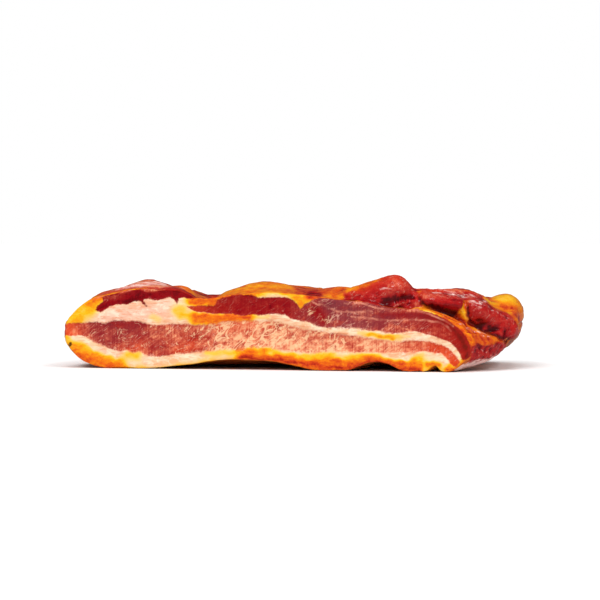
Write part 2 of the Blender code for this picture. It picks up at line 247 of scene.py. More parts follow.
SEEN_CRIMSON = (
    (104, 300), (106, 294.5), (113, 293), (122, 293), (130, 290.5), (137, 287.5), (141, 290),
    (147, 293), (155, 292), (163, 288.5), (176, 286), (184, 286), (191, 290), (198, 297),
    (190, 300), (150, 300), (120, 304),
)

# Each of them with the depth that it reaches back to and its tone
SEEN_LEAN = (
    (SEEN_SALMON, -26, 0.17), (SEEN_CRIMSON, -36, 0.84), (SEEN_LUMP, -28, 0.62),
    (SEEN_ROLL_A, -28, 0.96), (SEEN_ROLL_B, 2, 0.78), (SEEN_LOW_RED, -10, 0.74),
    (SEEN_FILM_A, 10, 0.5), (SEEN_FOLD, -28, 0.3), (SEEN_STRAND, -28, 0.84),
)

# Bands behind the rim: values they change, their line in pixels, half width, amount
SEEN_BANDS = (
    # Painted shade on the shadowed underside of the lump
    ("dark", ((384, 298), (396, 299.5), (410, 296), (416, 298)), 7.5, 0.1),
    ("orange", ((456, 372), (463, 365), (470, 357)), 3, 1),
    # Painted highlight streaks on the salmon strip
    ("film_and_glare", ((112, 289), (130, 286), (150, 284), (170, 285)), 2.4, 0.75),
    # Warmer, lighter top of the lump: partly its own red, partly painted light on the lit top
    ("warm", ((350, 290), (366, 287), (380, 280), (397, 277), (405, 281)), 4.5, 0.85),
    ("dark", ((366, 288), (380, 282), (397, 279)), 3, -0.1),
    # Painted highlight along the top of the lump
    ("film_and_glare", ((380, 290), (390, 288), (400, 286)), 1.2, 0.45),
    # Painted shadow in the gap under the first roll
    ("dark", ((430, 308), (444, 310.5), (456, 313)), 3.2, 0.3),
    ("film_and_glare", ((434, 293), (448, 293), (462, 296), (474, 298)), 2.4, 0.6),
    ("warm", ((420, 292), (428, 291.5), (440, 291)), 3, 0.8),
    # Painted highlight on the top of the second roll
    ("film_and_glare", ((471, 304), (477, 306), (484, 303)), 3, 0.6),
    ("film_and_glare", ((486, 309), (498, 314), (506, 318)), 1.6, 0.45),
    # Painted shade on the lower half of the second roll
    ("dark", ((470, 321), (482, 328), (496, 334), (508, 339)), 4, 0.14),
    # Pale film under the right end, with its painted glare
    ("film_and_glare", ((458, 369), (475, 364.5), (488, 361.5), (500, 357.5), (512, 351)), 3.8, 1.2),
    ("film_and_glare", ((472, 352), (478, 350), (486, 352)), 2, 0.3),
    ("gold", ((492, 302), (500, 299), (512, 298), (519, 302)), 6, 1.4),
    ("yellow", ((486, 303), (500, 308), (510, 313)), 3, 0.9),
    ("yellow", ((424, 307), (432, 309.5), (440, 312)), 3, 1),
    ("yellow", ((460, 308), (464, 314), (468, 318)), 4, 0.7),
    ("yellow", ((470, 329), (484, 332), (494, 336)), 3, 0.5),
    ("orange", ((436, 310), (450, 317), (463, 329), (470, 338), (475, 348)), 4.5, 1.1),
    # Painted glints on the smoked fat beside the rim
    ("film_and_glare", ((460, 325), (474, 331), (488, 336)), 2.4, 0.4),
    ("orange", ((516, 303), (521, 312), (520, 326)), 4, 1),
    ("red", ((512, 309), (515, 316)), 2.2, 0.7),
    ("yellow", ((499, 300.5), (507, 299.5), (513, 301.5)), 3.6, 0.85),
    ("orange", (
        (205, 297), (222, 291), (245, 287), (270, 284), (295, 287), (312, 290),
    ), 5, 0.95),
    ("gold", (
        (215, 294), (236, 289.5), (252, 287.5), (262, 285.5), (284, 287), (294, 289),
    ), 3, 0.75),
    ("red", ((296, 288), (306, 290), (316, 291.5)), 2.2, 0.7),
    ("gold", ((322, 295), (332, 296.5), (343, 296.5)), 2.6, 1),
    ("red", ((300, 291), (312, 292), (320, 296)), 3.5, 0.8),
    ("red", ((464, 332), (470, 338), (473, 346)), 3.5, 0.8),
    ("red", ((514, 308), (518, 316), (519, 330)), 4, 0.5),
    ("red", ((474, 336), (484, 341)), 3.5, 0.45),
    ("warm", ((100, 298), (116, 292), (132, 288)), 3.5, 0.9),
    ("film_and_glare", ((188, 284), (196, 289), (204, 295)), 2, 0.4),
    ("dark", ((146, 286), (158, 287.5), (172, 285.5)), 1.2, -0.14),
    ("dark", ((144, 289), (156, 290), (168, 287)), 0.9, 0.2),
    ("red", ((100, 299), (120, 291.5), (138, 287.5)), 2.5, 0.4),
    ("red", ((314, 292), (330, 292.5), (344, 291)), 2.4, 0.7),
    ("red", ((458, 322), (470, 332), (484, 338), (500, 342)), 5, 0.4),
    ("pink", ((218, 291), (232, 288)), 1.6, 0.6),
)

# Ridges and furrows behind the rim: line in pixels, half width, height in millimetres
SEEN_RELIEF = (
    (((426, 308.5), (438, 311), (449, 314), (457, 317)), 4, -2.6),
    (((386, 301), (398, 299), (412, 298)), 5, -1.4),
    (((419, 294), (421, 300), (422, 305)), 3, -1.6),
    (((459, 305), (461, 311), (466, 318)), 4.5, 1.6),
    (((466, 305), (468, 314), (469, 321)), 2.2, -1.4),
    (((472, 306), (486, 314), (500, 322), (511, 330)), 7.5, 1.8),
    (((470, 323), (482, 330), (496, 336), (508, 341)), 2.5, -1.6),
    (((430, 302), (445, 303), (458, 305)), 5, 1.2),
    (((424, 307.5), (435, 311), (446, 316), (458, 324), (466, 334), (472, 345)), 3.5, 0.8),
    (((395, 305), (403, 302), (411, 301), (418, 303.5)), 1.8, 0.9),
    (((474, 329), (486, 334), (496, 338)), 2.5, 0.7),
    (((472, 347), (484, 350), (498, 346)), 4, -0.6),
)

# Strands of lean that show on the smoked upper side: (x, y, z, radius) at both ends, tone
STRANDS = (
    ((-100, 34, 28, 8), (-62, 38, 28, 9), 0.72),
    ((-30, -8, 33, 6.5), (22, -12, 34, 7), 0.66),
    ((2, 40, 27, 8), (52, 42, 27, 7.5), 0.74),
    ((88, 4, 31, 7), (104, 12, 29, 7), 0.7),
    ((-54, -52, 38.5, 6), (-38, -24, 35, 9.5), 0.8),
    ((-92, -22, 30, 7.5), (-62, -14, 33, 8.5), 0.78),
    ((-82.5, 14, 27.6, 9.8), (-40.5, 22, 28.6, 9.2), 0.85),
    ((-10.5, 26, 31.1, 9.2), (39.5, 22, 31.1, 9.2), 0.85),
    ((33.5, -14, 34.1, 8.2), (65.5, -8, 33.3, 8.2), 0.8),
    ((63.5, 20, 31.6, 8.2), (93.5, 28, 27.1, 8.6), 0.88),
    ((18, -40, 33.4, 5.4), (34, -40, 34.6, 5.8), 0.62),
)

# Share of the thickness up to which each layer reaches on the smoked sides, along x:
# (x, lower fat, lower lean, middle fat, upper lean)
SIDE_LAYERS = (
    (-112, 0.40, 0.66, 0.84, 0.95), (-60, 0.19, 0.55, 0.80, 0.95), (0, 0.18, 0.56, 0.72, 0.93),
    (60, 0.25, 0.47, 0.60, 0.92), (100, 0.20, 0.46, 0.74, 1),
)

# The outlines on the cut face with the tones inside them
CUT_LEAN = (
    (LOWER_LEAN, LOWER_TONE), (UPPER_LEAN, UPPER_TONE), (CRIMSON_LEAN, CRIMSON_TONE),
    (SALMON_LEAN, SALMON_TONE),
)

# The picture: pixels across, sensor in millimetres, a pixel's size on the slab, and how far
# an edge wanders on the slab for each pixel that it wanders in the picture
PICTURE = 600
SENSOR = 36.0
PIXEL = 0.51
PIXEL_WANDER = 0.5

# Where the outlines behind the rim hold: spans of the picture's width, and a depth
SEEN_SPANS = ((92, 208), (298, 600))
SPAN_FADE = 8
SEEN_DEPTH = 14.0
SEEN_FADE = 12

# Between which limits a surface turns from away to toward: down, up and the camera
FACING_DOWN = (0.35, 0.65)
FACING_UP = (0.5, 0.85)
FACING_CAMERA = (0.02, 0.22)

# The finer mesh: distance that joins points, bend and skew of quads in degrees, levels
WELD = 1e-6
QUAD_BEND = 50
QUAD_SKEW = 60
SUBDIVISION = 2

# The height table that tells the local thickness: its cells, where its rays start off the
# slab, the thinnest edge that counts, and the least thickness that the layers are set out in
HEIGHT_STEP = 4.0
CLEARANCE = 5
THIN_EDGE = 10.0
LEAST_THICK = 8

# The cut: how far back its rounded rim still belongs to it, and the width of its edge
CUT_DEPTH = 3.4
CUT_EDGE = 0.9

# Where regions meet: how deep their weights still differ, and how sharply they change
BLEND_REACH = 8
BLEND_SHARPNESS = 2.0

# Share that long grain keeps of its length, for strands and for folds
FIBRE_SHARE = 0.22
FOLD_SHARE = 0.35

# Uneven edges, stains and relief, as sums of smooth noises: (height, size of lumps, start)
WAVES = {
    "wander x": ((0.35, 3, 5), (0.5, 8, 9)),
    "wander z": ((0.5, 6, 2), (0.2, 2.2, 4)),
    "cut edge": ((0.4, 4, 1),),
    "side layers": ((0.05, 17, 3),),
    "side edges": ((0.8, 5, 6),),
    "strands": ((5, 8, 7), (1.2, 3, 8)),
    "stain clouds": ((0.1, 12, 21),),
    "stain fibres": ((0.14, 7, 24),),
    "paler patches": ((1.3, 11, 22),),
    "rim stain": ((0.6, 7, 23),),
    "drift x": ((1.3, 4.5, 31),),
    "drift z": ((1.3, 4, 32),),
    "grain": ((0.12, 2.4, 11),),
    "folds": ((1, 3.6, 12),),
    "swells": ((0.25, 5.5, 13),),
}

# Lean of the outside: tone of the sides, how much darker strands dry, the deepest gap
# between them, the fat that the bare rind has over it, and the deepest value stored
SIDE_DARK = 0.9
STRAND_DRIED = 0.06
STRAND_GAP = 1.6
RIND_FAT = 4
DEEPEST = 6

# Smoke: stain of the outside with its paler patches, the share that soaked in at the rim of
# the cut, its (level, reach, amount) there, and the warmth of smoked lean
OUTER_STAIN = 0.8
PALER_PATCHES = 0.12
PALER_SHARE = 0.3
RIM_SOAKED = 0.75
RIM_STAINS = ((0.42, 3.6, 0.8), (0.7, 2.2, 1.0), (0.88, 0.8, 0.5))
OUTER_WARMTH = 0.25

# Values that bands may add to, all the values that the material reads, and the depths of
# stain that bands may draw toward
VALUES = ("pale", "warm", "grey", "pink", "film_and_glare")
STORED = VALUES + ("lean", "dark", "stain", "rind", "cut", "thread", "speck")
STAIN_LEVELS = {"cream": 0.0, "yellow": 0.42, "gold": 0.54, "orange": 0.72, "red": 0.92}

# Dark specks on the cut: (x, z). Threads and specks are put far off where they may not show
SPECKS = ((-110.3, 11.4), (-109.8, 12.4))
SPECK_DEPTH = 8
FAR_OFF = 4
THREAD_HALF = 0.45
SPECK_HALF = 0.9

# Relief: width of the lean's edge and of the crimson streak's, how far each sinks, height
# of the folds and their least share on fat, and the height below which the slab is flat
LEAN_EDGE = 1.2
CRIMSON_EDGE = 2.5
LEAN_SINKS = 0.35
CRIMSON_SINKS = 0.4
FOLD_HEIGHT = 0.45
LEAST_FOLD = 0.4
FLAT_UNDER = 2.0

# Painted shade in the hollows of the outside, and painted light on its crests
# What a hollow adds to each value: (amount for each millimetre, least, most)
HOLLOW_RINGS = 4
HOLLOW_SHADE_ADDS = {"dark": (1.4, -0.22, 0.4), "stain": (1.2, -0.08, 0.2)}

# Screen colours of lean from pale to dark, and of fat from fresh to deeply smoked
LEAN_COLOURS = (
    (0.0, (244, 186, 140)), (0.14, (226, 132, 96)), (0.34, (186, 74, 56)), (0.52, (158, 38, 32)),
    (0.68, (148, 18, 20)), (0.84, (140, 4, 16)), (0.97, (110, 2, 10)), (1.2, (74, 1, 6)),
)
FAT_COLOURS = (
    (0.0, (250, 212, 150)), (0.2, (250, 202, 92)), (0.42, (246, 180, 22)),
    (0.56, (240, 142, 16)), (0.72, (228, 104, 17)), (0.88, (204, 61, 22)), (1.0, (158, 27, 13)),
)
FRESH_FAT = ((250, 218, 182), (236, 176, 132))
BARE_RIND = ((206, 112, 48), (158, 66, 26))
FAT_THREADS = ((250, 208, 160), (210, 146, 132))

# Tints laid over them: screen colour, strength
TINTS = {
    "warm lean": ((224, 72, 26), 0.75),
    "greyed lean": ((126, 60, 66), 0.75),
    # Brighter red of smoked lean: partly its dried red, partly painted light on lit tops
    "dried and lit lean": ((198, 22, 20), 0.5),
    "pale stroke": ((222, 150, 128), 0.6),
    "pink fat": ((244, 182, 164), 0.6),
    "fat vein": ((222, 134, 94), 0.6),
    # Painted glints: pale blotches over the fresh fat
    "fat glint": ((255, 236, 212), 0.6),
    "browned fat": ((178, 36, 14), 0.5),
    "tissue thread": ((230, 146, 120), 1.0),
    # Pale tissue film, also laid as painted highlights and glare
    "tissue film": ((255, 214, 204), 0.9),
    "speck": ((48, 12, 8), 0.9),
}

# Patterns of grain: stretch along each axis, slant in degrees, size, and the detail,
# roughness and distortion of the noise
FIBRE_SLANT = 38
SQUIGGLE_STRETCH = (1.5, 1.5, 0.85)
PATTERNS = {
    "lean clouds": ((1.8, 1.5, 1), 0, 5.5, 5, 0.6, 0.4),
    "slanted fibres": ((3.6, 1.2, 0.8), 35, 1.9, 3, 0.6, 0),
    "level fibres": ((5, 0.8, 0.8), 0, 1.7, 4, 0.6, 0),
    "mottle": ((1.2, 1, 1), 0, 2.6, 2, 0.5, 0.9),
    "lean grain": ((1, 1, 1), 0, 0.8, 3, 0.6, 0),
    "knife marks": ((0.5, 1, 14), 0, 1.2, 2, 0.5, 0),
    "strokes": ((5, 1.5, 0.9), FIBRE_SLANT, 2.2, 2, 0.5, 0),
    "squiggle patches": (SQUIGGLE_STRETCH, FIBRE_SLANT, 5, 3, 0.6, 0),
    "fat clouds": ((2, 1.5, 1), 0, 5, 4, 0.6, 0),
    "fat veins": ((4, 2, 0.6), 0, 1.6, 4, 0.6, 0),
    "fat blotches": ((1.8, 1.2, 1), 0, 2.6, 5, 0.65, 0.6),
    "fat grain": ((1, 1, 1), 0, 0.9, 4, 0.7, 0),
    "thread breaks": ((1, 1, 1), 0, 6, 2, 0.55, 0),
    "film streaks": ((4, 1, 0.7), 0, 1.6, 4, 0.6, 0),
}

# Ragged edges: their inputs, the noise's detail, roughness and distortion, how far an edge
# moves with it, its size on lean, and the last three inputs for threads and for specks
EDGE_INPUTS = ("Distance", "Raggedness", "Size", "Softness")
EDGE_GRAIN = (4.0, 0.65, 0.0)
EDGE_SHIFT = 4.0
LEAN_GRAIN = 1.4
THREAD_RAGGED = (0.25, 1.0, 0.35)
SPECK_RAGGED = (0.3, 0.9, 0.3)

# Curly threads of fat: detail, roughness and distortion of their noise, and their two sizes
SQUIGGLE_GRAIN = (2.0, 0.5, 0.9)
WIDE_SQUIGGLES = 5.2
TIGHT_SQUIGGLES = 3.0

# Gloss: roughness of fat and lean, the wet coat on the cut and outside, and the fine bumps
FAT_ROUGHNESS = 0.42
LEAN_ROUGHNESS = 0.34
SPECULAR = 0.06
CUT_COAT = 0.1
SMOKED_COAT = 0.5
COAT_ROUGHNESS = 0.17
BUMP_STRENGTH = 0.7
BUMP_HEIGHT = 0.4 * MM

# The floor: half its width in metres, how far it lies below the slab, its shade as seen and
# as the slab's gloss mirrors it, and its roughness
FLOOR_SIZE = 30
FLOOR_DROP = 0.2 * MM
FLOOR_WHITE = 0.95
FLOOR_MIRRORED = 0.25
FLOOR_ROUGHNESS = 0.9

# Brightness of the sky, as light and as the slab's gloss mirrors it, and the soft lamps:
# (angle round, angle up, strength, width, whether gloss shows it)
SKY = 0.40
SKY_MIRRORED = 0.08
LAMPS = (
    (-32, 50, 0.74, 24, False), (40, 32, 0.45, 20, False), (10, 75, 1.0, 36, False),
    (-12, 38, 0.35, 9, True), (62, 50, 0.55, 14, True),
)


def ease(t):
    """0 to 1 with level ends."""
    t = np.clip(t, 0, 1)
    return t * t * (3 - 2 * t)


def bell(distance, half):
    """1 at a line, fading out past its half width."""
    return np.exp(-((distance / half) ** 2))


def rough(points, size, start=0.0):
    """Smooth noise between -1 and 1 at each point, with lumps of that size."""
    shift = Vector((start, 2 * start, 3 * start))
    return np.array([noise.noise(Vector(p) / size + shift) for p in points])


def uneven(points, name):
    """The named noises at each point, added up."""
    return sum(height * rough(points, size, start) for height, size, start in WAVES[name])


def line_distance(line, x, z):
    """Distance to an open line."""
    nearest = np.full(len(x), np.inf)
    for (ax, az), (bx, bz) in zip(line, line[1:]):
        dx, dz = bx - ax, bz - az
        t = np.clip(((x - ax) * dx + (z - az) * dz) / (dx * dx + dz * dz), 0, 1)
        nearest = np.minimum(nearest, np.hypot(x - ax - t * dx, z - az - t * dz))
    return nearest


def inside_by(outline, x, z):
    """Distance to a closed outline, positive inside it."""
    closed = outline + outline[:1]
    inside = np.zeros(len(x), bool)
    for (ax, az), (bx, bz) in zip(closed, closed[1:]):
        if az != bz:
            inside ^= ((az > z) != (bz > z)) & (x < ax + (bx - ax) * (z - az) / (bz - az))
    nearest = line_distance(closed, x, z)
    return np.where(inside, nearest, -nearest)


def strand_depth(strand, points):
    """How far each point lies within a tapering strand, negative outside it."""
    near, far = np.array(strand[0]), np.array(strand[1])
    axis = far[:3] - near[:3]
    t = np.clip((points - near[:3]) @ axis / (axis @ axis), 0, 1)
    away = points - near[:3] - t[:, None] * axis
    return near[3] + t * (far[3] - near[3]) - np.linalg.norm(away, axis=1)


def along(table, x):
    """The columns of a table whose first column is x, read at x."""
    rows = np.array(table, float)
    return [np.interp(x, rows[:, 0], column) for column in rows.T[1:]]


def blended(values, depths):
    """One value at each point, from those of the regions that it lies deepest in."""
    weight = np.exp(np.clip(np.array(depths), -BLEND_REACH, BLEND_REACH) * BLEND_SHARPNESS)
    weight /= weight.sum(axis=0)
    return sum(value * share for value, share in zip(values, weight))


def outward(azimuth, elevation):
    """Unit vector toward an angle round the slab and above the table, in degrees."""
    a, e = math.radians(azimuth), math.radians(elevation)
    return Vector((math.sin(a) * math.cos(e), -math.cos(a) * math.cos(e), math.sin(e)))


def camera_axes():
    """The camera's right, up and back."""
    back = outward(AZIMUTH, ELEVATION)
    right = Vector((math.cos(math.radians(AZIMUTH)), math.sin(math.radians(AZIMUTH)), 0))
    return right, back.cross(right), back


def in_picture(points):
    """Pixel of the camera's picture that each point is seen at."""
    right, up, back = (np.array(axis) for axis in camera_axes())
    away = points - np.array(AIM) - back * DISTANCE
    scale = PICTURE * LENS / SENSOR / (away @ back)
    return PICTURE / 2 - scale * (away @ right), PICTURE / 2 + scale * (away @ up)


def vectors(items, name):
    """A vector of each of a mesh's items, as rows."""
    flat = np.empty(len(items) * 3, np.float32)
    items.foreach_get(name, flat)
    return flat.reshape(-1, 3).astype(float)


def new_object(name, data):
    """An object of that name and data, in the scene."""
    made = bpy.data.objects.new(name, data)
    bpy.context.scene.collection.objects.link(made)
    return made


def new_mesh(name, made):
    """An object from a finished bmesh."""
    mesh = bpy.data.meshes.new(name)
    made.to_mesh(mesh)
    made.free()
    return new_object(name, mesh)


def refined_skin(node, name):
    """A finer copy of a node's mesh, with its quads restored and rounded."""
    made = bmesh.new()
    made.from_mesh(node.data)
    bmesh.ops.remove_doubles(made, verts=made.verts, dist=WELD)
    bmesh.ops.join_triangles(
        made, faces=made.faces, angle_face_threshold=math.radians(QUAD_BEND),
        angle_shape_threshold=math.radians(QUAD_SKEW),
    )
    skin = new_mesh(name, made)
    finer = skin.modifiers.new("finer", "SUBSURF")
    finer.levels = finer.render_levels = SUBDIVISION
    bpy.context.view_layer.update()
    evaluated = skin.evaluated_get(bpy.context.evaluated_depsgraph_get())
    mesh = bpy.data.meshes.new_from_object(evaluated)
    skin.modifiers.clear()
    skin.data = mesh
    mesh.shade_smooth()
    return skin


def local_heights(node):
    """Bottom and top of the slab over a grid in plan, with thin edges filled from inside."""
    low, high = (np.array(corner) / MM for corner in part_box(node.name))
    tree = BVHTree.FromPolygons(
        [v.co / MM for v in node.data.vertices], [tuple(f.vertices) for f in node.data.polygons]
    )
    xs, ys = (np.arange(low[k] + HEIGHT_STEP / 2, high[k], HEIGHT_STEP) for k in (0, 1))
    bottom, top = np.full((2, len(xs), len(ys)), np.nan)
    for i, x in enumerate(xs):
        for j, y in enumerate(ys):
            under = tree.ray_cast(Vector((x, y, low[2] - CLEARANCE)), Vector((0, 0, 1)))[0]
            over = tree.ray_cast(Vector((x, y, high[2] + CLEARANCE)), Vector((0, 0, -1)))[0]
            if under is not None and over is not None and over.z - under.z > THIN_EDGE:
                bottom[i, j], top[i, j] = under.z, over.z
    for grid in (bottom, top):
        for row in (*grid, *grid.T):
            known = np.flatnonzero(~np.isnan(row))
            if len(known):
                row[:] = np.interp(np.arange(len(row)), known, row[known])
    return xs, ys, bottom, top


def read_grid(grid, xs, ys, points):
    """Values of a plan grid at each point, between its cells."""
    u, v = (
        np.clip((points[:, k] - cells[0]) / HEIGHT_STEP, 0, len(cells) - 1.001)
        for k, cells in enumerate((xs, ys))
    )
    i, j = u.astype(int), v.astype(int)
    u, v = u - i, v - j
    near = grid[i, j] * (1 - v) + grid[i, j + 1] * v
    far = grid[i + 1, j] * (1 - v) + grid[i + 1, j + 1] * v
    return near * (1 - u) + far * u


class Place:
    """Where each point of the skin lies, as the tables need it."""

    def __init__(self, points, normals):
        self.points = points
        self.x, self.y, self.z = points.T
        self.front = self.y.min()
        self.drawn_out = points * np.array((FIBRE_SHARE, 1, 1))

        # Where the tables are read, so that edges wander as they do in meat
        self.cut_x = self.x + uneven(points, "wander x")
        self.cut_z = self.z + uneven(points, "wander z")
        seen_x, seen_y = in_picture(points)
        self.seen_x = seen_x + (self.cut_x - self.x) / PIXEL_WANDER
        self.seen_y = seen_y - (self.cut_z - self.z) / PIXEL_WANDER

        # Shares from 0 to 1: fresh cut, smoked, rind below, upper side, seen behind the rim
        depth = self.front + CUT_DEPTH - self.y + uneven(points, "cut edge")
        self.cut = ease(depth / CUT_EDGE)
        self.smoked = 1 - self.cut
        self.below = facing(-normals[:, 2], FACING_DOWN) * self.smoked
        self.on_top = facing(normals[:, 2], FACING_UP)
        toward = normals @ np.array(outward(AZIMUTH, ELEVATION))
        self.seen = facing(toward, FACING_CAMERA) * ease((SEEN_DEPTH - self.y) / SEEN_FADE)


def facing(toward, limits):
    """0 to 1 between two limits of how far a surface turns toward something."""
    low, high = limits
    return ease((toward - low) / (high - low))


def cut_lean(place):
    """Lean of the fresh cut: depth, tones by name, and where the crimson streak is."""
    parts = [inside_by(outline, place.cut_x, place.cut_z) for outline, _ in CUT_LEAN]
    tones = [along(table, place.x) for _, table in CUT_LEAN]
    names = ("dark", "pale", "warm", "grey")
    tones = {name: blended([tone[k] for tone in tones], parts) for k, name in enumerate(names)}
    crimson = inside_by(CRIMSON_LEAN, place.cut_x, place.cut_z) + 1
    return np.max(parts, axis=0), tones, ease(crimson / CRIMSON_EDGE) * place.cut


def side_lean(place, heights):
    """Depth in the two layers of lean that run out at the smoked sides."""
    xs, ys, bottom, top = heights
    base, crown = (read_grid(grid, xs, ys, place.points) for grid in (bottom, top))
    thick = np.maximum(crown - base, LEAST_THICK)
    share = np.clip((place.z - base) / thick, 0, 1) + uneven(place.points, "side layers")
    fat_1, lean_1, fat_2, lean_2 = along(SIDE_LAYERS, place.x)
    lower = np.minimum(share - fat_1, lean_1 - share)
    upper = np.minimum(share - fat_2, lean_2 - share)
    return thick * np.maximum(lower, upper) + uneven(place.points, "side edges")


def top_lean(place):
    """Depth and tone of the lean strands on the upper side, with thinner ones between."""
    strands = [strand_depth(strand, place.points) for strand in STRANDS]
    depth = np.maximum(np.max(strands, axis=0), -STRAND_GAP) + uneven(place.drawn_out, "strands")
    return depth, blended([tone for _, _, tone in STRANDS], strands) + STRAND_DRIED


def rim_lean(place):
    """Share, depth and tone of the lean that is seen behind the rim of the cut."""
    x, y = place.seen_x, place.seen_y
    depths = [
        PIXEL * inside_by(outline, x, y) - np.clip(place.y - reach, 0, None)
        for outline, reach, _ in SEEN_LEAN
    ]
    spans = [
        ease((x - first) / SPAN_FADE) * ease((last - x) / SPAN_FADE) for first, last in SEEN_SPANS
    ]
    tone = blended([tone for _, _, tone in SEEN_LEAN], depths)
    return place.seen * np.max(spans, axis=0), np.max(depths, axis=0), tone


def rim_distance(place):
    """How far each point of the cut lies from the smoked outside."""
    outside = place.points[place.cut < 0.5]
    tree = KDTree(len(outside))
    for index, point in enumerate(outside):
        tree.insert(point, index)
    tree.balance()
    return np.array([
        tree.find(point)[2] if cut >= 0.5 else 0.0
        for point, cut in zip(place.points, place.cut)
    ])


def smoke_stain(place):
    """How deeply smoke has stained the fat, outside and where it soaked in at the rim."""
    clouds = uneven(place.points, "stain clouds") + uneven(place.drawn_out, "stain fibres")
    lighter = PALER_PATCHES * ease(PALER_SHARE + uneven(place.points, "paler patches"))
    stain = place.smoked * (OUTER_STAIN + clouds - lighter)
    rim = rim_distance(place)
    soaked = place.cut * (RIM_SOAKED + uneven(place.points, "rim stain"))
    for level, reach, amount in RIM_STAINS:
        stain += (level - stain) * np.clip(soaked * amount * bell(rim, reach), 0, 1)
    return stain


def add_bands(place, values):
    """Draws the stain toward a level, or adds to another value, along each band."""
    drift = [uneven(place.points, name) for name in ("drift x", "drift z")]
    behind = place.smoked * place.seen
    for bands, where, x, z, unit in (
        (CUT_BANDS, place.cut, place.cut_x, place.cut_z, 1),
        (SEEN_BANDS, behind, place.seen_x, place.seen_y, 1 / PIXEL),
    ):
        for name, line, half, amount in bands:
            dx, dz = (unit * d for d in drift) if name in STAIN_LEVELS else (0, 0)
            share = amount * where * bell(line_distance(line, x + dx, z + dz), half)
            if name in STAIN_LEVELS:
                stain = values["stain"]
                stain += (STAIN_LEVELS[name] - stain) * np.clip(share, 0, 1)
            else:
                values[name] += share
    values["furrow"] = sum(
        height * behind * bell(line_distance(line, place.seen_x, place.seen_y), half)
        for line, half, height in SEEN_RELIEF
    )


def tissue(points, normals, heights):
    """Values of the skin at each point, by name."""
    place = Place(points, normals)
    values = {name: np.zeros(len(points)) for name in VALUES}
    cut_depth, tones, values["crimson"] = cut_lean(place)
    cut_dark = tones.pop("dark")
    for name, tone in tones.items():
        values[name] += tone * place.cut

    # Lean of the outside: the sides, the upper side, the bare rind, and what is seen
    top_depth, top_dark = top_lean(place)
    depth = side_lean(place, heights) * (1 - place.on_top) + top_depth * place.on_top
    depth = depth * (1 - place.below) - RIND_FAT * place.below
    dark = SIDE_DARK * (1 - place.on_top) + top_dark * place.on_top
    seen, seen_depth, seen_dark = rim_lean(place)
    depth = depth * (1 - seen) + seen_depth * seen
    dark = dark * (1 - seen) + seen_dark * seen
    depth = cut_depth * place.cut + depth * place.smoked
    values["lean"] = np.clip(depth, -DEEPEST, DEEPEST)
    values["dark"] = cut_dark * place.cut + dark * place.smoked

    values["stain"] = smoke_stain(place)
    add_bands(place, values)
    values["warm"] += OUTER_WARMTH * place.smoked * (1 - seen)
    values["rind"] = place.below
    values["cut"] = place.cut
    threads = [line_distance(line, place.cut_x, place.cut_z) for line in THREADS]
    values["thread"] = np.min(threads, axis=0) + FAR_OFF * place.smoked
    specks = [np.hypot(place.x - x, place.z - z) for x, z in SPECKS]
    values["speck"] = np.min(specks, axis=0) + FAR_OFF * (place.y > place.front + SPECK_DEPTH)
    return values


def raise_relief(points, normals, values):
    """Moves the skin along its normals: lean sinks, the outside is dried into wrinkles."""
    lean = ease(values["lean"] / LEAN_EDGE + 0.5)
    cut = values["cut"]
    amount = -LEAN_SINKS * lean * cut - CRIMSON_SINKS * values.pop("crimson")
    amount += values.pop("furrow") + (1 + lean) * uneven(points, "grain")
    stretched = points * np.array((FOLD_SHARE, 1, 1))
    folds = FOLD_HEIGHT * (1 - 2 * np.abs(uneven(stretched, "folds")))
    folds = folds * (LEAST_FOLD + (1 - LEAST_FOLD) * lean)
    amount += (1 - cut) * (folds + uneven(points, "swells"))
    amount *= ease(points[:, 2] / FLAT_UNDER)
    return points + normals * amount[:, None]


def hollows(mesh, points, normals):
    """How far each point lies below the mean of the points around it."""
    ends = np.empty(len(mesh.edges) * 2, np.int32)
    mesh.edges.foreach_get("vertices", ends)
    a, b = ends.reshape(-1, 2).T
    count = np.bincount(np.concatenate((a, b)), minlength=len(points))
    mean = points
    for _ in range(HOLLOW_RINGS):
        mean = np.array([
            np.bincount(a, column[b], len(points)) + np.bincount(b, column[a], len(points))
            for column in mean.T
        ]).T / count[:, None]
    return ((mean - points) * normals).sum(axis=1)


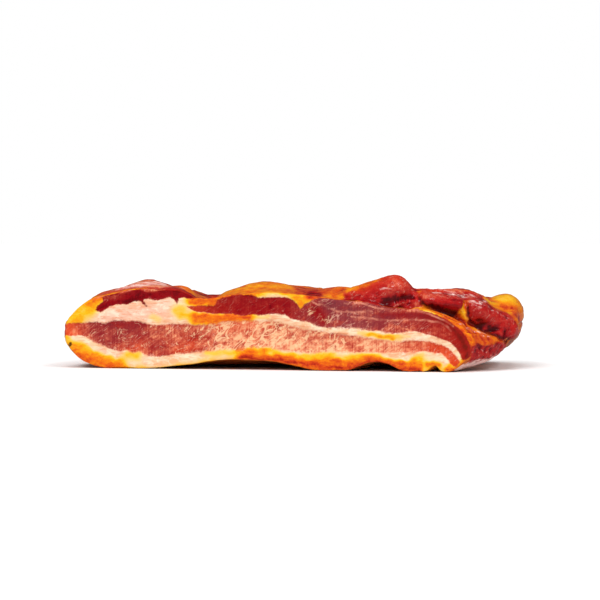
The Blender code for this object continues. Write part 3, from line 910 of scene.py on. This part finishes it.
class Nodes:
    """Short calls for building a node tree."""

    def __init__(self, tree):
        self.tree = tree

    def put(self, socket, value):
        if isinstance(value, bpy.types.NodeSocket):
            self.tree.links.new(value, socket)
        else:
            socket.default_value = value

    def add(self, kind, inputs=(), **settings):
        node = self.tree.nodes.new("ShaderNode" + kind)
        for name, value in settings.items():
            setattr(node, name, value)
        for name, value in dict(inputs).items():
            self.put(node.inputs[name], value)
        return node

    def math(self, operation, a, b=0.0, c=0.0):
        return self.add("Math", {0: a, 1: b, 2: c}, operation=operation).outputs[0]

    def times(self, *factors):
        """Numbers multiplied with each other."""
        product = factors[0]
        for factor in factors[1:]:
            product = self.math("MULTIPLY", product, factor)
        return product

    def plus(self, value, factor, start):
        """A value times a factor, added to a start."""
        return self.math("MULTIPLY_ADD", value, factor, start)

    def mix(self, factor, a, b):
        """A colour between two others."""
        node = self.add("Mix", data_type="RGBA")
        for index, value in ((0, factor), (6, a), (7, b)):
            self.put(node.inputs[index], value)
        return node.outputs[2]

    def two(self, factor, pair):
        """A colour between a pair of screen colours."""
        return self.mix(factor, *(srgb(*colour) for colour in pair))

    def blend(self, factor, a, b):
        """A number between two others."""
        node = self.add("Mix", data_type="FLOAT")
        for index, value in ((0, factor), (2, a), (3, b)):
            self.put(node.inputs[index], value)
        return node.outputs[0]

    def between(self, value, low, high, to_low=0.0, to_high=1.0):
        """A value read from one range into another, with level ends."""
        node = self.add("MapRange", interpolation_type="SMOOTHSTEP")
        for index, number in enumerate((value, low, high, to_low, to_high)):
            self.put(node.inputs[index], number)
        return node.outputs[0]

    def tint(self, name, mask, colour):
        """A colour with a named tint laid over it by a mask."""
        shade, strength = TINTS[name]
        return self.mix(self.times(mask, strength), colour, srgb(*shade))

    def value(self, name):
        """A value stored on the skin."""
        return self.add("Attribute", attribute_type="GEOMETRY", attribute_name=name).outputs["Fac"]

    def ramp(self, factor, stops):
        """A colour from a row of (place, colour)."""
        reach = stops[-1][0]
        node = self.add("ValToRGB", {"Fac": self.math("DIVIDE", factor, reach)})
        stops = [(place / reach, colour) for place, colour in stops]
        elements = node.color_ramp.elements
        for element, (place, colour) in zip(elements, (stops[0], stops[-1])):
            element.position, element.color = place, srgb(*colour)
        for place, colour in stops[1:-1]:
            elements.new(place).color = srgb(*colour)
        return node.outputs["Color"]

    def spot(self, stretch=(1, 1, 1), slant=0):
        """Position on the slab in millimetres, turned by a slant and divided by the stretch."""
        here = self.add("TexCoord").outputs["Object"]
        if slant:
            turn = {"Vector": here, "Angle": math.radians(slant)}
            here = self.add("VectorRotate", turn, rotation_type="Y_AXIS").outputs[0]
        scale = tuple(1 / (MM * s) for s in stretch)
        return self.add("VectorMath", {0: here, 1: scale}, operation="MULTIPLY").outputs[0]

    def noise(self, where, scale, detail, roughness, distortion=0.0):
        return self.add("TexNoise", {
            "Vector": where, "Scale": scale, "Detail": detail, "Roughness": roughness,
            "Distortion": distortion,
        }).outputs["Fac"]

    def pattern(self, name):
        """One of the named patterns of grain."""
        stretch, slant, size, detail, roughness, distortion = PATTERNS[name]
        return self.noise(self.spot(stretch, slant), 1 / size, detail, roughness, distortion)

    def group(self, tree, inputs):
        return self.add("Group", inputs, node_tree=tree).outputs


def new_group(name, inputs, outputs):
    """An empty node group with inputs for numbers, and its outputs by name and type."""
    tree = bpy.data.node_groups.new(name, "ShaderNodeTree")
    for label in inputs:
        tree.interface.new_socket(label, in_out="INPUT", socket_type="NodeSocketFloat")
    for label, kind in outputs.items():
        tree.interface.new_socket(label, in_out="OUTPUT", socket_type="NodeSocket" + kind)
    given = tree.nodes.new("NodeGroupInput").outputs
    return Nodes(tree), given, tree.nodes.new("NodeGroupOutput").inputs


def ragged_edge():
    """Mask of a region from the distance to its edge, with an edge as ragged as meat's."""
    n, given, out = new_group("ragged edge", EDGE_INPUTS, {"Mask": "Float"})
    grain = n.noise(n.spot(), n.math("DIVIDE", 1.0, given["Size"]), *EDGE_GRAIN)
    shift = n.times(n.math("SUBTRACT", grain, 0.5), given["Raggedness"])
    moved = n.plus(shift, EDGE_SHIFT, given["Distance"])
    low = n.times(given["Softness"], -1.0)
    n.put(out["Mask"], n.between(moved, low, given["Softness"]))
    return n.tree


def squiggles():
    """Fine curly threads of fat in lean, and a height."""
    n, given, out = new_group(
        "squiggles", ("Size", "Amount"), {"Threads": "Float", "Height": "Float"}
    )
    where = n.spot(SQUIGGLE_STRETCH, FIBRE_SLANT)
    lines = n.noise(where, n.math("DIVIDE", 1.0, given["Size"]), *SQUIGGLE_GRAIN)
    ridge = n.math("ABSOLUTE", n.math("SUBTRACT", lines, 0.5))
    width = n.plus(given["Amount"], 0.045, 0.008)
    thin = n.between(ridge, n.times(width, 0.3), width, 1.0, 0.0)
    level = n.plus(given["Amount"], -0.28, 0.62)
    patches = n.pattern("squiggle patches")
    there = n.between(patches, n.math("SUBTRACT", level, 0.06), n.math("ADD", level, 0.08))
    shown = n.times(there, n.between(given["Amount"], 0.08, 0.3))
    n.put(out["Threads"], n.times(thin, shown))
    n.put(out["Height"], n.times(ridge, 2.0))
    return n.tree


def lean_finish(threads):
    """Colour and height of lean meat from its tone, mottling, warmth and greyness."""
    n, given, out = new_group(
        "lean", ("Dark", "Pale", "Warm", "Grey", "Smoked"), {"Color": "Color", "Height": "Float"}
    )
    clouds = n.pattern("lean clouds")
    fibres = n.blend(given["Smoked"], n.pattern("slanted fibres"), n.pattern("level fibres"))
    mottle = n.pattern("mottle")
    fine = n.pattern("lean grain")
    knife = n.pattern("knife marks")

    # Tone, uneven by clouds, fibres, mottling, grain and the knife's marks
    scored = n.plus(given["Grey"], 0.6, 0.4)
    shares = ((clouds, 0.95), (fibres, 0.5), (mottle, 0.5), (fine, 0.35), (knife, scored))
    grain = 0.0
    for pattern, share in shares:
        grain = n.plus(n.math("SUBTRACT", pattern, 0.5), share, grain)
    contrast = n.between(given["Dark"], 0.6, 0.85, 1.1, 0.55)
    contrast = n.plus(given["Pale"], -0.2, contrast)
    contrast = n.plus(given["Smoked"], -0.15, contrast)
    tone = n.plus(grain, contrast, given["Dark"])
    colour = n.ramp(tone, LEAN_COLOURS)
    colour = n.tint("warm lean", given["Warm"], colour)
    colour = n.tint("greyed lean", n.times(given["Grey"], n.between(clouds, 0.3, 0.55)), colour)
    # Brighter red where smoked lean is paler: partly its dried red, partly painted light on lit
    # tops
    dried = n.times(given["Smoked"], n.between(tone, 0.92, 0.6))
    colour = n.tint("dried and lit lean", dried, colour)

    # Pale strokes along the slant of the cut fibres, on brown lean alone
    ridge = n.math("ABSOLUTE", n.math("SUBTRACT", n.pattern("strokes"), 0.5))
    strokes = n.times(n.between(ridge, 0.006, 0.028, 1.0, 0.0), n.between(mottle, 0.46, 0.58))
    brown = n.times(n.between(given["Dark"], 0.16, 0.32), n.between(given["Dark"], 0.84, 0.4))
    colour = n.tint("pale stroke", n.times(strokes, brown), colour)

    # Curly threads of fat in two sizes
    few = n.times(given["Pale"], 0.8)
    wide = n.group(threads, {"Size": WIDE_SQUIGGLES, "Amount": given["Pale"]})
    tight = n.group(threads, {"Size": TIGHT_SQUIGGLES, "Amount": few})
    threaded = n.math("MAXIMUM", wide["Threads"], n.times(tight["Threads"], 0.5))
    fatty = n.two(given["Grey"], FAT_THREADS)
    n.put(out["Color"], n.mix(n.times(threaded, 0.75), colour, fatty))
    height = n.plus(wide["Height"], 0.7, n.plus(fibres, 1.6, fine))
    n.put(out["Height"], n.times(height, n.plus(given["Smoked"], 0.6, 0.8)))
    return n.tree


def fat_finish():
    """Colour and height of fat from its smoke stain."""
    n, given, out = new_group(
        "fat", ("Stain", "Pink", "Rind", "Smoked"), {"Color": "Color", "Height": "Float"}
    )
    clouds = n.pattern("fat clouds")
    veins = n.pattern("fat veins")
    blotches = n.pattern("fat blotches")
    fine = n.pattern("fat grain")

    # Fresh fat
    fresh = n.two(n.between(clouds, 0.38, 0.62), FRESH_FAT)
    fresh = n.tint("pink fat", given["Pink"], fresh)
    fresh = n.tint("fat vein", n.between(veins, 0.5, 0.66), fresh)
    # Painted glints: pale blotches over the fresh fat
    fresh = n.tint("fat glint", n.between(blotches, 0.5, 0.66), fresh)

    # Stained fat, more uneven where the stain is deeper
    blotched = n.plus(fine, 0.3, n.plus(blotches, 0.9, -0.6))
    depth = n.between(given["Stain"], 0.0, 0.7, 0.15, 1.0)
    blotched = n.times(blotched, depth, n.plus(given["Smoked"], -0.3, 1.0))
    stained = n.ramp(n.math("ADD", given["Stain"], blotched), FAT_COLOURS)
    colour = n.mix(n.between(given["Stain"], 0.0, 0.38), fresh, stained)
    rind = n.two(n.between(clouds, 0.36, 0.64), BARE_RIND)
    colour = n.mix(n.times(given["Rind"], 0.85), colour, rind)
    browned = n.between(n.plus(fine, 0.5, veins), 0.84, 1.04)
    n.put(out["Color"], n.tint("browned fat", n.times(browned, given["Smoked"]), colour))
    dried = n.times(given["Smoked"], 2.4)
    n.put(out["Height"], n.plus(fine, dried, n.math("ADD", veins, clouds)))
    return n.tree


def new_material(name):
    """A material, the calls for its nodes, and the inputs of its shader."""
    material = bpy.data.materials.new(name)
    material.use_nodes = True
    tree = material.node_tree
    return material, Nodes(tree), tree.nodes["Principled BSDF"].inputs


def slab_finish():
    """The whole skin of the slab: fresh cut and smoked, lean and fat."""
    material, n, shader = new_material("cured_belly_skin")
    value = {name: n.value(name) for name in STORED}
    smoked = n.math("SUBTRACT", 1.0, value["cut"])
    lean = n.group(lean_finish(squiggles()), {
        **{name.capitalize(): value[name] for name in ("dark", "pale", "warm", "grey")},
        "Smoked": smoked,
    })
    fat = n.group(fat_finish(), {
        **{name.capitalize(): value[name] for name in ("stain", "pink", "rind")},
        "Smoked": smoked,
    })
    edge = ragged_edge()

    def mask(*inputs):
        """A region's mask, from the inputs of a ragged edge in their order."""
        return n.group(edge, dict(zip(EDGE_INPUTS, inputs)))["Mask"]

    softness = n.plus(value["pale"], 0.8, n.plus(smoked, 0.4, 0.4))
    is_lean = mask(value["lean"], n.plus(value["pale"], 0.5, 0.4), LEAN_GRAIN, softness)
    colour = n.mix(is_lean, fat["Color"], lean["Color"])

    # Threads of tissue, the film on the outside with its painted highlights and glare, and specks
    thread = mask(n.math("SUBTRACT", THREAD_HALF, value["thread"]), *THREAD_RAGGED)
    broken = n.between(n.pattern("thread breaks"), 0.34, 0.56, 0.15, 0.7)
    colour = n.tint("tissue thread", n.times(thread, broken), colour)
    film_and_glare = n.between(n.plus(n.pattern("film streaks"), 2.4, value["film_and_glare"]), 1.5, 2.2)
    film_and_glare = n.times(film_and_glare, n.between(value["film_and_glare"], 0.02, 0.25))
    colour = n.tint("tissue film", film_and_glare, colour)
    speck = mask(n.math("SUBTRACT", SPECK_HALF, value["speck"]), *SPECK_RAGGED)
    colour = n.tint("speck", speck, colour)

    n.put(shader["Base Color"], colour)
    n.put(shader["Roughness"], n.between(is_lean, 0.0, 1.0, FAT_ROUGHNESS, LEAN_ROUGHNESS))
    n.put(shader["Coat Weight"], n.plus(smoked, SMOKED_COAT - CUT_COAT, CUT_COAT))
    shader["Specular IOR Level"].default_value = SPECULAR
    shader["Coat Roughness"].default_value = COAT_ROUGHNESS
    height = n.blend(is_lean, fat["Height"], lean["Height"])
    bump = n.add("Bump", {"Strength": BUMP_STRENGTH, "Distance": BUMP_HEIGHT, "Height": height})
    n.put(shader["Normal"], bump.outputs["Normal"])
    return material


def slab(frame):
    """The slab's skin, in place of its solid."""
    node = frame["nodes"]["pancetta"]
    heights = local_heights(node)
    skin = refined_skin(node, "pancetta_skin")
    mesh = skin.data
    points = vectors(mesh.vertices, "co") / MM
    normals = vectors(mesh.vertex_normals, "vector")
    values = tissue(points, normals, heights)
    points = raise_relief(points, normals, values)
    # Painted shade: darker lean and deeper stain where the outside dips, lighter where it rises
    hollow = hollows(mesh, points, normals) * (1 - values["cut"])
    for name, (amount, least, most) in HOLLOW_SHADE_ADDS.items():
        values[name] += np.clip(amount * hollow, least, most)
    mesh.vertices.foreach_set("co", (points * MM).astype(np.float32).ravel())
    mesh.update()
    for name, value in values.items():
        stored = mesh.attributes.new(name, "FLOAT", "POINT")
        stored.data.foreach_set("value", value.astype(np.float32))
    mesh.materials.clear()
    mesh.materials.append(slab_finish())
    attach(skin, "root")
    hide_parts("pancetta")


def floor():
    """A wide white floor, darker where the slab's gloss mirrors it."""
    made = bmesh.new()
    bmesh.ops.create_grid(made, x_segments=1, y_segments=1, size=FLOOR_SIZE)
    sheet = new_mesh("floor", made)
    sheet.location.z = -FLOOR_DROP
    white, n, shader = new_material("floor_white")
    mirrored = n.add("LightPath").outputs["Is Glossy Ray"]
    shades = ((level, level, level, 1.0) for level in (FLOOR_WHITE, FLOOR_MIRRORED))
    n.put(shader["Base Color"], n.mix(mirrored, *shades))
    shader["Roughness"].default_value = FLOOR_ROUGHNESS
    shader["Specular IOR Level"].default_value = 0.0
    sheet.data.materials.append(white)


def sky():
    """An even white sky, dimmer as light than as a background."""
    world = bpy.data.worlds.new("studio")
    bpy.context.scene.world = world
    world.use_nodes = True
    n = Nodes(world.node_tree)
    path = n.add("LightPath").outputs
    strength = n.plus(path["Is Camera Ray"], 1.0 - SKY, SKY)
    strength = n.plus(path["Is Glossy Ray"], SKY_MIRRORED - SKY, strength)
    n.put(world.node_tree.nodes["Background"].inputs["Strength"], strength)
    world.node_tree.nodes["Background"].inputs["Color"].default_value = (1, 1, 1, 1)


def lamps():
    """Soft lamps, of which only the narrow ones show in the gloss."""
    for index, (azimuth, elevation, strength, width, shines) in enumerate(LAMPS):
        lamp = bpy.data.lights.new(f"lamp_{index}", "SUN")
        lamp.energy = strength
        lamp.angle = math.radians(width)
        holder = new_object(lamp.name, lamp)
        holder.rotation_euler = outward(azimuth, elevation).to_track_quat("Z", "Y").to_euler()
        holder.visible_glossy = shines


def camera():
    """The photograph's view of the slab."""
    axes = camera_axes()
    turn = Matrix(axes).transposed().to_4x4()
    holder = new_object("camera", bpy.data.cameras.new("camera"))
    holder.data.lens = LENS
    holder.matrix_world = Matrix.Translation((Vector(AIM) + axes[2] * DISTANCE) * MM) @ turn
    bpy.context.scene.camera = holder


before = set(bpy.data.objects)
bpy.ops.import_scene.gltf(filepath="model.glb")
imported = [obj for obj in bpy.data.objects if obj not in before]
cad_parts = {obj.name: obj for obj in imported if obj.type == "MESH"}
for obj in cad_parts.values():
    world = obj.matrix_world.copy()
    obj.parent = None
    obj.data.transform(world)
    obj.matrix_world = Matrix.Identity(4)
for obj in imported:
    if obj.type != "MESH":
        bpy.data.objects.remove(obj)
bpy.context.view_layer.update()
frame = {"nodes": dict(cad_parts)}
slab(frame)
floor()
sky()
lamps()
camera()
bpy.context.scene.view_settings.view_transform = "Standard"
bpy.context.view_layer.update()
